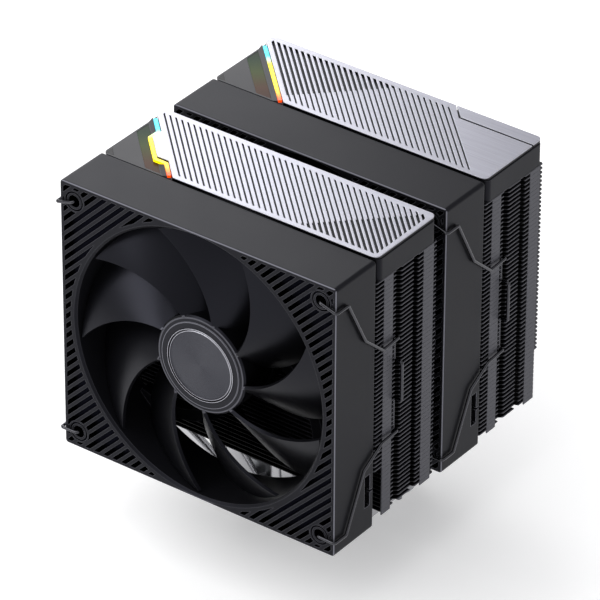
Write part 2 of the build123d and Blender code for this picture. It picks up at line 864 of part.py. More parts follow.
def make_spring_screw():
    """Long mounting screw: cross-slotted head, smooth shank, threaded tip."""
    head_top = screw_head_bottom + screw_head_height
    groove_top = block_top - retainer_gap
    groove_floor = groove_top - retainer_thickness - 0.1
    screw = disc(screw_head_radius, screw_head_bottom, head_top)
    screw = chamfer(screw.faces().sort_by(Axis.Z)[-1].edges(), 0.7)
    for turn in (0, 90):
        screw -= Rot(0, 0, turn) * block(-3.2, 3.2, -0.6, 0.6, head_top - 2.4, head_top + 1)
    screw += disc(screw_shank, thread_top, screw_head_bottom)
    screw += disc(screw_thread, screw_tip, thread_top)
    screw = screw - ring(screw_thread + 0.2, screw_shank + 1, groove_floor, groove_top)
    return chamfer(screw.faces().sort_by(Axis.Z)[0].edges(), 0.5)


def make_retainer():
    """Open ring clipped into the screw's groove, under the bar."""
    top = block_top - retainer_gap - 0.05
    washer = ring(screw_thread + 0.3, screw_shank + 1.8, top - retainer_thickness, top)
    return washer - block(-1.4, 1.4, 0, 9, 0, top + 1)


def make_spring():
    """Compression spring between the bar and the screw's head."""
    low = bar_top + spring_wire + 0.1
    high = screw_head_bottom - spring_wire - 0.1
    coil = screw_shank + spring_wire + 0.6
    helix = Helix(pitch=(high - low) / spring_turns, height=high - low, radius=coil)
    section = Plane(origin=helix @ 0, z_dir=helix % 0) * Circle(spring_wire)
    return Pos(0, 0, low) * sweep(section, path=helix, is_frenet=True)


def make_mounting():
    save("mounting_bar", make_mounting_bar())
    parts = {
        "spring_screw": make_spring_screw(),
        "screw_spring": make_spring(),
        "screw_retainer": make_retainer(),
    }
    for side, sign in (("left", -1), ("right", 1)):
        for node, shape in parts.items():
            save(f"{node}_{side}", Pos(sign * screw_x, 0, 0) * shape)


# ---------------------------------------------------------------- build
os.makedirs("parts", exist_ok=True)
make_base()
make_pipes()
make_fins()
make_covers()
make_fans()
make_clips()
make_mounting()
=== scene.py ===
"""Looks of a dual-tower processor cooler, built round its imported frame."""

import json
import math

import bpy
from mathutils import Matrix, Vector


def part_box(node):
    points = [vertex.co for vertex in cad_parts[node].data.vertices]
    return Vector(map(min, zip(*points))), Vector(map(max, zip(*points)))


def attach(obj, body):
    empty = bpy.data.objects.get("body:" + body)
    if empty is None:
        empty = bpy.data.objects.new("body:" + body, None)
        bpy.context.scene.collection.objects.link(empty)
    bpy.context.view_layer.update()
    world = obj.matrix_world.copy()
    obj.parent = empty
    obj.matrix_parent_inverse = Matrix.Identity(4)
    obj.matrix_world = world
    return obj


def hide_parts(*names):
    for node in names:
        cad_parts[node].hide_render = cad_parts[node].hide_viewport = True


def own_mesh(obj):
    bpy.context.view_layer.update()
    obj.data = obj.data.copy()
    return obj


bl_info = {
    "name": "Dual Tower Cooler",
    "version": (1, 0, 0),
    "blender": (4, 5, 0),
    "location": "View3D > Sidebar > Cooler",
    "description": "Builds the finishes, moving trims and stage of a dual-tower processor cooler",
    "category": "Object",
}

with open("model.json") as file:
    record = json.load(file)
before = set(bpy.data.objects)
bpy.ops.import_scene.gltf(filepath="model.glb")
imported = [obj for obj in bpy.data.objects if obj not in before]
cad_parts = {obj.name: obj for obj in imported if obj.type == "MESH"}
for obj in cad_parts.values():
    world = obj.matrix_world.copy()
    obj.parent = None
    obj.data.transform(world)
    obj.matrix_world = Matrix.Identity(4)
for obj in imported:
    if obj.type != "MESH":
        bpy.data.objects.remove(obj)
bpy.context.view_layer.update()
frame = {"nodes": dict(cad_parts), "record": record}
MM = 0.001
SIDES = ("front", "rear")
HANDS = ("left", "right")

# Fan housings: painted highlight line at the front edges, plain border, and how deep the painted shade of the
# slots runs.
RIM_START, RIM_END = 0.6 * MM, 0.25 * MM
BORDER_START, BORDER_END = 1.4 * MM, 0.8 * MM
SLOT_SHADE_DEPTH = (0.7 * MM, 3.3 * MM)
# Hubs: inner and outer radius of the painted highlights on the rim and on the bead inside it.
HUB_RIM_HIGHLIGHT = (19.7 * MM, 21.0 * MM)
HUB_BEAD_HIGHLIGHT = (18.1 * MM, 18.4 * MM)
# Hub caps: width in millimetres and rise in cap steps of each ring, from the outside in.
CAP_RINGS = (
    (0.2, 0.8), (0.35, 0.0), (0.2, -0.7), (0.2, 0.0), (0.2, 0.5), (0.3, 0.0), (0.25, -0.6),
)
# Light bars: their turn about the upright, and how brightly the bars' light is painted as a glow on the
# smoked strips beside them.
BAR_TURN = math.radians(-45)
STRIP_PAINTED_GLOW = 0.34
# Screw springs: closed turns at each end, open turns between, and facets in a turn.
END_TURNS, OPEN_TURNS, TURN_FACETS = 1.0, 3.5, 40
FLOOR_WIDTH = 12


# ---------------------------------------------------------------- settings
def paint(code):
    """Linear colour of a six-digit paint code."""
    channels = [int(code[at:at + 2], 16) / 255 for at in (0, 2, 4)]
    linear = [c / 12.92 if c <= 0.04045 else ((c + 0.055) / 1.055) ** 2.4 for c in channels]
    return (*linear, 1.0)


def colour(name, description, code):
    return bpy.props.FloatVectorProperty(
        name=name, description=description, subtype="COLOR", size=4, min=0, max=1, default=paint(code)
    )


def length(name, description, metres):
    return bpy.props.FloatProperty(
        name=name, description=description, subtype="DISTANCE", unit="LENGTH", min=0, default=metres
    )


def power(name, description, watts):
    return bpy.props.FloatProperty(
        name=name, description=description, subtype="POWER", unit="POWER", min=0, default=watts
    )


# Faintly blue sheen of the moulded plastics.
COOL_SHEEN = paint("e4e6ff")


class CoolerPaints(bpy.types.PropertyGroup):
    slot: colour("Fan slots", "Deep shade in the slots of the fan housings", "020203")
    fan: colour("Fan housing", "Moulded colour of both fan housings", "0e0e10")
    fan_light: colour("Fan housing, lighter", "Paler patches of the moulded housings", "131316")
    # Painted highlight: the pale colour laid on the housings' front edges and corners.
    fan_edge_highlight: colour("Fan edges", "Polished corners of the fan housings", "787880")
    blade: colour("Blades", "Smoked gloss of the impellers", "08080a")
    hub_disc: colour("Hub discs", "Spun metal of the hub caps", "2c2c31")
    # Painted highlight: the pale colour of the hub's rim and bead.
    hub_rim_highlight: colour("Hub rims", "Turned rim and bead round each hub", "6e6e75")
    # Fins: near-black for both the black coating and painted shade deep between the fins; the paler edge
    # colour below is a painted highlight on their outer edges and tabs.
    fins: colour("Fins", "Black nickel on the fins", "0c0c0e")
    fin_edge_highlight: colour("Fin edges", "Outer edges and tabs of the fins, worn brighter", "4a4a50")
    cover: colour("Covers", "Skirts under the top plates", "141416")
    panel: colour("End panels", "Low panels at the covers' left ends", "3a3a3e")
    plate: colour("Top plates", "Brushed anodised aluminium", "a4a4ae")
    # Painted highlight: the near-white colour of the top plates' edges.
    plate_edge_highlight: colour("Plate edges", "Cut edges of the top plates", "f4f4fa")
    pipes: colour("Heat pipes", "Nickel over copper", "c9c9cc")
    clips: colour("Clips", "Blackened spring steel", "48484c")


class CoolerLight(bpy.types.PropertyGroup):
    start: colour("First light", "Colour at the bar's rear end", "35d8f0")
    middle: colour("Middle light", "Colour along the bar's middle", "ffe600")
    end: colour("Last light", "Colour at the bar's front end", "ff4a00")
    strength: bpy.props.FloatProperty(
        name="Strength", description="Brightness of the light bars", min=0, max=20, default=1.0
    )


class CoolerSizes(bpy.types.PropertyGroup):
    edge_round: length("Edge rounding", "Soft radius seen on moulded and cut edges", 0.5 * MM)
    cap_step: length("Cap step", "Height of the rings turned on the hub caps", 0.45 * MM)
    thread_pitch: length("Thread pitch", "Pitch of the mounting screws' thread", 0.5 * MM)
    spring_wire: length("Spring wire", "Diameter of the screw springs' wire", 1.0 * MM)


class CoolerStage(bpy.types.PropertyGroup):
    floor: colour("Floor", "Pale studio floor", "f6f6f6")
    sky_power: power("Sky light", "Power of the large softbox overhead", 11)
    back_power: power("Back light", "Power of the softbox behind the cooler, on its left", 3.2)
    key_power: power("Key light", "Power of the softbox at the front left", 1.2)
    table_glow: bpy.props.FloatProperty(
        name="Table glow", description="Light coming up through the translucent shooting table", min=0, max=2,
        default=0.3,
    )
    air: bpy.props.FloatProperty(
        name="Fill", description="Brightness of the room's even fill light", min=0, max=2, default=0.7
    )
    azimuth: bpy.props.FloatProperty(
        name="Azimuth", description="Camera's turn round the cooler", subtype="ANGLE", unit="ROTATION",
        default=math.radians(36.51),
    )
    elevation: bpy.props.FloatProperty(
        name="Elevation", description="Camera's height above the horizon", subtype="ANGLE", unit="ROTATION",
        default=math.radians(32.66),
    )
    roll: bpy.props.FloatProperty(
        name="Roll", description="Camera's tilt to one side", subtype="ANGLE", unit="ROTATION",
        default=math.radians(0.296),
    )
    distance: length("Distance", "Camera's distance from its aim point", 2.17725)
    focal: bpy.props.FloatProperty(
        name="Focal length", description="Camera's focal length in millimetres", min=1, default=336.55
    )
    aim: bpy.props.FloatVectorProperty(
        name="Aim", description="Point that the camera looks at", subtype="XYZ", unit="LENGTH",
        default=(-0.004875, -0.008463, 0.089213),
    )


# ---------------------------------------------------------------- finishes
class Finish:
    """A procedural material under construction."""

    def __init__(self, name, **sockets):
        self.material = bpy.data.materials.new(name)
        self.material.use_nodes = True
        self.tree = self.material.node_tree
        self.shader = self.tree.nodes["Principled BSDF"]
        for socket, value in sockets.items():
            self.put(self.shader.inputs[socket.replace("_", " ")], value)

    def put(self, socket, value):
        if isinstance(value, bpy.types.NodeSocket):
            self.tree.links.new(value, socket)
        else:
            socket.default_value = value

    def node(self, kind, inputs=None, **settings):
        made = self.tree.nodes.new("ShaderNode" + kind)
        for name, value in settings.items():
            setattr(made, name, value)
        for name, value in (inputs or {}).items():
            self.put(made.inputs[name], value)
        return made

    def place(self, size=(1, 1, 1), at=(0, 0, 0), turn=(0, 0, 0)):
        """Object coordinates measured from a point, turned, in units of a size."""
        source = self.node("TexCoord").outputs["Object"]
        inputs = {"Vector": source, "Location": at, "Rotation": turn, "Scale": size}
        return self.node("Mapping", inputs, vector_type="TEXTURE").outputs["Vector"]

    def noise(self, place, detail=2.0, roughness=0.5):
        inputs = {"Vector": place, "Scale": 1.0, "Detail": detail, "Roughness": roughness}
        return self.node("TexNoise", inputs).outputs["Fac"]

    def wave(self, place, kind, direction, scale=1.0, distortion=0.0):
        which = {"rings_direction" if kind == "RINGS" else "bands_direction": direction}
        inputs = {"Vector": place, "Scale": scale, "Distortion": distortion}
        return self.node("TexWave", inputs, wave_type=kind, **which).outputs["Fac"]

    def maths(self, operation, first, second=0.0, third=0.0, clamp=False):
        made = self.node("Math", operation=operation, use_clamp=clamp)
        for socket, value in zip(made.inputs, (first, second, third)):
            self.put(socket, value)
        return made.outputs[0]

    def spread(self, factor, low, high):
        """A factor from 0 to 1 stretched over another range."""
        return self.node("MapRange", {"Value": factor, "To Min": low, "To Max": high}).outputs[0]

    def step(self, factor, low, high):
        """0 below one value, 1 above another, straight between them."""
        return self.node("MapRange", {"Value": factor, "From Min": low, "From Max": high}).outputs[0]

    def ramp(self, factor, stops):
        made = self.node("ValToRGB", {"Fac": factor})
        band = made.color_ramp
        while len(band.elements) < len(stops):
            band.elements.new(0.5)
        for element, (where, tint) in zip(band.elements, stops):
            element.position = where
            element.color = tint
        return made.outputs["Color"]

    def mix(self, factor, first, second):
        made = self.node("Mix", data_type="RGBA")
        for socket, value in zip((0, 6, 7), (factor, first, second)):
            self.put(made.inputs[socket], value)
        return made.outputs[2]

    def reach(self, centre):
        """Distance from a rotor's axis."""
        parts = self.node("SeparateXYZ", {"Vector": self.place(at=centre)}).outputs
        across = self.maths("MULTIPLY", parts["X"], parts["X"])
        return self.maths("SQRT", self.maths("MULTIPLY_ADD", parts["Z"], parts["Z"], third=across))

    def band(self, factor, low, high, soft):
        """1 between two values, fading to 0 outside them."""
        rise = self.step(factor, low - soft, low)
        return self.maths("MULTIPLY", rise, self.step(factor, high + soft, high))

    def soft_normal(self, radius):
        return self.node("Bevel", {"Radius": radius}, samples=6).outputs["Normal"]

    def edges(self, normal, sharpness=3.0):
        """1 on rounded edges and 0 on flat faces."""
        flat = self.node("NewGeometry").outputs["Normal"]
        dot = self.node("VectorMath", operation="DOT_PRODUCT")
        self.put(dot.inputs[0], normal)
        self.put(dot.inputs[1], flat)
        turned = self.maths("SUBTRACT", 1.0, dot.outputs["Value"])
        return self.maths("MULTIPLY", turned, sharpness, clamp=True)

    def bump(self, height, distance, strength=1.0, normal=None):
        inputs = {"Height": height, "Distance": distance, "Strength": strength}
        if normal is not None:
            inputs["Normal"] = normal
        return self.node("Bump", inputs).outputs["Normal"]

    def skin(self, grain_size, grain_depth, radius, gloss, spot=20 * MM):
        """Fine grain, slowly varying gloss and rounded edges; gives back both patterns."""
        cloud = self.noise(self.place((spot,) * 3), 3.0)
        grain = self.noise(self.place((grain_size,) * 3), 2.0, 0.6)
        soft = self.soft_normal(radius)
        self.put(self.shader.inputs["Roughness"], self.spread(cloud, *gloss))
        self.put(self.shader.inputs["Normal"], self.bump(grain, grain_depth, 0.6, soft))
        return cloud, soft

    def tone_and_edge_highlight(self, base, edge_highlight, grain_size, grain_depth, radius, gloss, spot=20 * MM):
        """Moulded or plated surface with slightly uneven colour and a painted highlight on its rounded edges.
        """
        cloud, soft = self.skin(grain_size, grain_depth, radius, gloss, spot)
        dark = tuple(c * 0.86 for c in base[:3]) + (1.0,)
        body = self.mix(cloud, dark, base)
        # Painted highlight: the edge colour laid on rounded edges.
        self.put(self.shader.inputs["Base Color"], self.mix(self.edges(soft), body, edge_highlight))

    def brush(self, base, edge_highlight, size, depth, radius, gloss):
        """Metal brushed along X: long streaks in colour, gloss and height, and a painted highlight on its
        rounded edges.
        """
        streak = self.noise(self.place(size), 4.0, 0.7)
        soft = self.soft_normal(radius)
        dark = tuple(c * 0.8 for c in base[:3]) + (1.0,)
        body = self.mix(self.step(streak, 0.35, 0.65), dark, base)
        # Painted highlight: the edge colour laid on rounded edges.
        self.put(self.shader.inputs["Base Color"], self.mix(self.edges(soft), body, edge_highlight))
        self.put(self.shader.inputs["Roughness"], self.spread(streak, *gloss))
        self.put(self.shader.inputs["Normal"], self.bump(streak, depth, 0.5, soft))


def repaint(node, finish):
    """Gives a frame node its finish through its material slots."""
    slots = frame["nodes"][node].data.materials
    for index in range(len(slots)):
        slots[index] = finish.material


def nodes_of(slot):
    return sorted(
        name for name, node in frame["nodes"].items() if node.data.materials[0].name.split(".")[0] == slot
    )


NODES = {slot["slot"]: nodes_of(slot["slot"]) for slot in frame["record"]["materials"]}


def finish_all(slot, finish):
    for node in NODES[slot]:
        repaint(node, finish)


# ---------------------------------------------------------------- mesh tools
def clear_selection():
    if bpy.context.object and bpy.context.object.mode != "OBJECT":
        bpy.ops.object.mode_set(mode="OBJECT")
    bpy.ops.object.select_all(action="DESELECT")


def begin(name):
    """Names the primitive just added and opens it for editing."""
    piece = bpy.context.object
    piece.name = name
    piece.data.name = name
    bpy.ops.object.mode_set(mode="EDIT")
    return piece


def select_faces(piece, wanted):
    """Selects the faces for which wanted(centre, normal) is true, in edit mode."""
    bpy.ops.mesh.select_mode(type="FACE")
    bpy.ops.mesh.select_all(action="DESELECT")
    bpy.ops.object.mode_set(mode="OBJECT")
    for face in piece.data.polygons:
        face.select = wanted(face.center, face.normal)
    bpy.ops.object.mode_set(mode="EDIT")


def settle(piece):
    """Puts the piece's place into its mesh, so that its object sits at the origin."""
    clear_selection()
    piece.select_set(True)
    bpy.context.view_layer.objects.active = piece
    bpy.ops.object.transform_apply(location=True, rotation=True, scale=True)


def smooth(piece, degrees=35):
    clear_selection()
    piece.select_set(True)
    bpy.context.view_layer.objects.active = piece
    bpy.ops.object.shade_smooth_by_angle(angle=math.radians(degrees))


def hand_over(piece, finish, body, slot, *nodes):
    """Finishes a piece: smooth shading, material, body and the nodes that it stands for."""
    settle(piece)
    smooth(piece)
    piece.data.materials.clear()
    piece.data.materials.append(finish.material)
    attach(piece, body)
    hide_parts(*nodes)


# ---------------------------------------------------------------- finishes of the frame's nodes
class COOLER_OT_fans(bpy.types.Operator):
    """Finishes the fan housings, impellers and pads"""

    bl_idname = "cooler.fans"
    bl_label = "Fan housings and impellers"

    def execute(self, context):
        paints = context.scene.cooler_paints
        radius = context.scene.cooler_sizes.edge_round
        for side in SIDES:
            self.finish_housing(side, paints, radius)
            self.finish_impeller(side, paints)
        pads = Finish("pad_rubber_matt")
        pads.tone_and_edge_highlight(paint("1a1a1a"), paint("2a2a2a"), 0.3 * MM, 0.03 * MM, 0.2 * MM, (0.7, 0.85))
        finish_all("pad_rubber", pads)
        return {"FINISHED"}

    def finish_housing(self, side, paints, radius):
        """Satin housing with painted highlights on its front edges and corners, and painted shade in its
        corner slots.
        """
        low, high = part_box("fan_frame_" + side)
        housing = Finish("fan_plastic_satin_" + side, Specular_IOR_Level=0.12, Specular_Tint=COOL_SHEEN)
        cloud, soft = housing.skin(0.16 * MM, 0.012 * MM, radius, (0.34, 0.42))
        centre = Vector(((low.x + high.x) / 2, low.y, (low.z + high.z) / 2))
        parts = housing.node("SeparateXYZ", {"Vector": housing.place(at=centre)}).outputs
        half_width, half_height = high.x, (high.z - low.z) / 2
        far_x = housing.maths("ABSOLUTE", parts["X"])
        far_z = housing.maths("ABSOLUTE", parts["Z"])

        at_side = housing.step(far_x, half_width - RIM_START, half_width - RIM_END)
        at_top = housing.step(far_z, half_height - RIM_START, half_height - RIM_END)
        at_front = housing.step(parts["Y"], RIM_START, RIM_END)
        meeting = housing.maths("ADD", housing.maths("ADD", at_side, at_top), at_front)
        # Painted highlight where two of the three faces meet.
        corner_highlights = housing.step(meeting, 1.3, 1.8)

        within = housing.maths(
            "MULTIPLY",
            housing.step(far_x, half_width - BORDER_END, half_width - BORDER_START),
            housing.step(far_z, half_height - BORDER_END, half_height - BORDER_START),
        )
        # Painted highlight lines along the rounded edges, fainter inside the border.
        highlight_lines = housing.maths("MULTIPLY", housing.edges(soft, 7.0), housing.spread(within, 1.0, 0.3))
        highlight_lines = housing.maths("MAXIMUM", highlight_lines, corner_highlights)
        past_bore = housing.step(housing.reach(centre), half_height - 1.0 * MM, half_height - 0.8 * MM)
        deep = housing.maths("MULTIPLY", housing.band(parts["Y"], *SLOT_SHADE_DEPTH, 0.3 * MM), past_bore)
        slots = housing.maths("MULTIPLY", deep, within)

        face = housing.mix(highlight_lines, housing.mix(cloud, paints.fan, paints.fan_light), paints.fan_edge_highlight)
        # Painted shade: the slots' floors and deep walls turn near-black and fully metallic, so they show
        # neither colour nor reflection.
        housing.put(housing.shader.inputs["Base Color"], housing.mix(slots, face, paints.slot))
        housing.put(housing.shader.inputs["Metallic"], slots)
        repaint("fan_frame_" + side, housing)

    def finish_impeller(self, side, paints):
        """Smoked gloss blades, with painted highlights on the rim and on the bead round the hub's face."""
        low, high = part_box("impeller_" + side)
        blades = Finish("impeller_smoked_gloss_" + side, Specular_IOR_Level=0.2, Specular_Tint=COOL_SHEEN)
        blades.skin(0.5 * MM, 0.002 * MM, 0.15 * MM, (0.28, 0.36))
        away = blades.reach((low + high) / 2)
        # Painted highlights: pale bands on the hub's rim and bead, on its front face only.
        rim_highlight = blades.maths("MULTIPLY", blades.band(away, *HUB_RIM_HIGHLIGHT, 0.1 * MM), 0.55)
        hub_ring_highlight = blades.maths("MAXIMUM", rim_highlight, blades.band(away, *HUB_BEAD_HIGHLIGHT, 0.1 * MM))
        behind = blades.node("SeparateXYZ", {"Vector": blades.place(at=low)}).outputs["Y"]
        facing = blades.band(behind, -1.0 * MM, 0.9 * MM, 0.2 * MM)
        tone = blades.mix(blades.maths("MULTIPLY", hub_ring_highlight, facing), paints.blade, paints.hub_rim_highlight)
        blades.put(blades.shader.inputs["Base Color"], tone)
        repaint("impeller_" + side, blades)


class COOLER_OT_motors(bpy.types.Operator):
    """Finishes what is inside the hubs: magnets, windings, bearings and boards"""

    bl_idname = "cooler.motors"
    bl_label = "Motors"

    def execute(self, context):
        magnet = Finish("magnet_ferrite", Metallic=0.3)
        magnet.tone_and_edge_highlight(paint("3b3a3a"), paint("5a5858"), 0.4 * MM, 0.02 * MM, 0.1 * MM, (0.5, 0.65))
        finish_all("magnet", magnet)
        brass = Finish("bearing_sintered", Metallic=1.0)
        brass.tone_and_edge_highlight(paint("b08d4f"), paint("d9bd83"), 0.12 * MM, 0.01 * MM, 0.1 * MM, (0.4, 0.55))
        finish_all("bearing_brass", brass)
        copper = Finish("winding_enamel", Metallic=1.0, Coat_Weight=0.5, Coat_Roughness=0.2)
        turns = copper.wave(copper.place((0.25 * MM,) * 3), "BANDS", "DIAGONAL", 0.3)
        copper.put(copper.shader.inputs["Base Color"], copper.mix(turns, paint("7c3a1c"), paint("d07a45")))
        copper.put(copper.shader.inputs["Roughness"], copper.spread(turns, 0.35, 0.25))
        copper.put(copper.shader.inputs["Normal"], copper.bump(turns, 0.08 * MM))
        finish_all("copper_wire", copper)
        board = Finish("circuit_board", Coat_Weight=0.4, Coat_Roughness=0.25)
        slanted = board.place((1.2 * MM,) * 3, turn=(0, 0, math.radians(45)))
        tracks = board.wave(slanted, "BANDS", "X", 0.3, 2.0)
        board.put(board.shader.inputs["Base Color"],
                  board.mix(board.step(tracks, 0.6, 0.7), paint("10281c"), paint("1d4a33")))
        board.put(board.shader.inputs["Roughness"], board.spread(tracks, 0.35, 0.5))
        finish_all("board", board)
        return {"FINISHED"}


class COOLER_OT_towers(bpy.types.Operator):
    """Finishes the fin towers, the heat pipes and the base"""

    bl_idname = "cooler.towers"
    bl_label = "Towers, pipes and base"

    def execute(self, context):
        paints = context.scene.cooler_paints
        for side in SIDES:
            low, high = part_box("fins_" + side)
            fins = Finish("fin_black_nickel_" + side, Metallic=0.3, Specular_IOR_Level=0.15)
            fins.skin(0.3 * MM, 0.006 * MM, 0.12 * MM, (0.32, 0.44))
            parts = fins.node("SeparateXYZ", {"Vector": fins.place(at=(low + high) / 2)}).outputs
            # Painted shade and highlight: near-black inside the tower, paler on the fins' outer sides and, at
            # half strength, on their ends.
            sides = fins.step(fins.maths("ABSOLUTE", parts["X"]), high.x - 0.6 * MM, high.x - 0.3 * MM)
            deep = (high.y - low.y) / 2
            ends = fins.step(fins.maths("ABSOLUTE", parts["Y"]), deep - 0.5 * MM, deep - 0.2 * MM)
            rim_highlight = fins.maths("MAXIMUM", sides, fins.maths("MULTIPLY", ends, 0.5))
            fins.put(fins.shader.inputs["Base Color"], fins.mix(rim_highlight, paints.fins, paints.fin_edge_highlight))
            repaint("fins_" + side, fins)
        nickel = Finish("nickel_plate", Metallic=1.0)
        nickel.tone_and_edge_highlight(paints.pipes, paint("f0f0f0"), 0.6 * MM, 0.004 * MM, 0.3 * MM, (0.16, 0.26), 12 * MM)
        finish_all("nickel", nickel)
        milled = Finish("block_milled", Metallic=1.0)
        milled.brush(
            paint("a9abae"), paint("e6e6e8"), (14 * MM, 0.25 * MM, 0.25 * MM),
            0.01 * MM, 0.3 * MM, (0.26, 0.42),
        )
        finish_all("block_aluminium", milled)
        steel = Finish("steel_zinc", Metallic=1.0)
        steel.tone_and_edge_highlight(paint("9b9ca0"), paint("d8d8dc"), 0.25 * MM, 0.006 * MM, 0.15 * MM, (0.24, 0.38), 8 * MM)
        finish_all("steel", steel)
        return {"FINISHED"}


class COOLER_OT_clips(bpy.types.Operator):
    """Finishes the spring wire clips"""

    bl_idname = "cooler.clips"
    bl_label = "Fan clips"

    def execute(self, context):
        clips = Finish("clip_black_steel", Metallic=1.0)
        paints = context.scene.cooler_paints
        clips.tone_and_edge_highlight(paints.clips, paint("c0c0c4"), 0.4 * MM, 0.004 * MM, 0.1 * MM, (0.16, 0.26))
        finish_all("clip_steel", clips)
        return {"FINISHED"}


class COOLER_OT_covers(bpy.types.Operator):
    """Finishes the skirts, end panels, top plates and corner trims"""

    bl_idname = "cooler.covers"
    bl_label = "Covers and top plates"

    def execute(self, context):
        paints = context.scene.cooler_paints
        radius = context.scene.cooler_sizes.edge_round
        skirt = Finish("cover_plastic_satin", Specular_IOR_Level=0.14, Specular_Tint=COOL_SHEEN)
        skirt.tone_and_edge_highlight(paints.cover, paint("6a6a70"), 0.16 * MM, 0.01 * MM, radius, (0.34, 0.46))
        finish_all("cover_plastic", skirt)
        panel = Finish("panel_plastic_satin", Specular_IOR_Level=0.2)
        panel.tone_and_edge_highlight(paints.panel, paint("6c6c72"), 0.16 * MM, 0.01 * MM, 0.15 * MM, (0.38, 0.48))
        finish_all("panel_plastic", panel)
        plate = Finish("plate_brushed_aluminium", Metallic=0.9)
        plate.brush(
            paints.plate, paints.plate_edge_highlight, (30 * MM, 0.22 * MM, 5 * MM),
            0.006 * MM, 0.25 * MM, (0.28, 0.42),
        )
        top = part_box("top_plate_front")[1].z
        height = plate.node("SeparateXYZ", {"Vector": plate.place(at=(0, 0, top))}).outputs["Z"]
        # Painted shade: the plates' walls below the top surface turn near-black.
        wall_shade = plate.step(height, -0.3 * MM, -0.45 * MM)
        silver = plate.shader.inputs["Base Color"].links[0].from_socket
        plate.put(plate.shader.inputs["Base Color"], plate.mix(wall_shade, silver, paint("101012")))
        finish_all("silver_plate", plate)
        return {"FINISHED"}


class COOLER_OT_lights(bpy.types.Operator):
    """Lights the bars, and paints the glow of their light onto the smoked strips beside them"""

    bl_idname = "cooler.lights"
    bl_label = "Light bars and smoked strips"

    def execute(self, context):
        light = context.scene.cooler_light
        for side in SIDES:
            low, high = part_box("light_bar_" + side)
            start = Vector((low.x, high.y, 0))
            run = Vector((high.x - low.x, low.y - high.y, 0)).length
            bar = Finish("light_bar_glow_" + side, Roughness=0.35)
            along = bar.place((run,) * 3, start, (0, 0, BAR_TURN))
            position = bar.node("SeparateXYZ", {"Vector": along}).outputs["X"]
            glow = bar.ramp(position, [
                (0.0, light.start), (0.2, light.start), (0.34, light.middle), (0.72, light.middle),
                (0.95, light.end),
            ])
            frost = bar.noise(bar.place((0.4 * MM,) * 3), 2.0)
            bar.put(bar.shader.inputs["Base Color"], glow)
            bar.put(bar.shader.inputs["Emission Color"], glow)
            bar.shader.inputs["Emission Strength"].default_value = light.strength
            bar.put(bar.shader.inputs["Normal"], bar.bump(frost, 0.02 * MM))
            repaint("light_bar_" + side, bar)

            smoke = Finish("smoked_strip_tint_" + side, Roughness=0.4, Specular_IOR_Level=0.12)
            along = smoke.place((run,) * 3, start, (0, 0, BAR_TURN))
            position = smoke.node("SeparateXYZ", {"Vector": along}).outputs["X"]
            # Painted glow: the bars' light on the smoked strips, laid on as emission, from green at the rear
            # end to orange at the front end.
            tint = smoke.ramp(position, [
                (0.0, paint("0a1a14")), (0.2, paint("14501c")), (0.42, paint("5c7414")),
                (0.7, paint("74400e")), (1.0, paint("521c08")),
            ])
            haze = smoke.noise(smoke.place((3 * MM,) * 3), 2.0)
            smoke.put(smoke.shader.inputs["Base Color"], smoke.mix(haze, paint("070707"), paint("121212")))
            smoke.put(smoke.shader.inputs["Emission Color"], tint)
            smoke.shader.inputs["Emission Strength"].default_value = STRIP_PAINTED_GLOW
            repaint("smoked_strip_" + side, smoke)
        return {"FINISHED"}


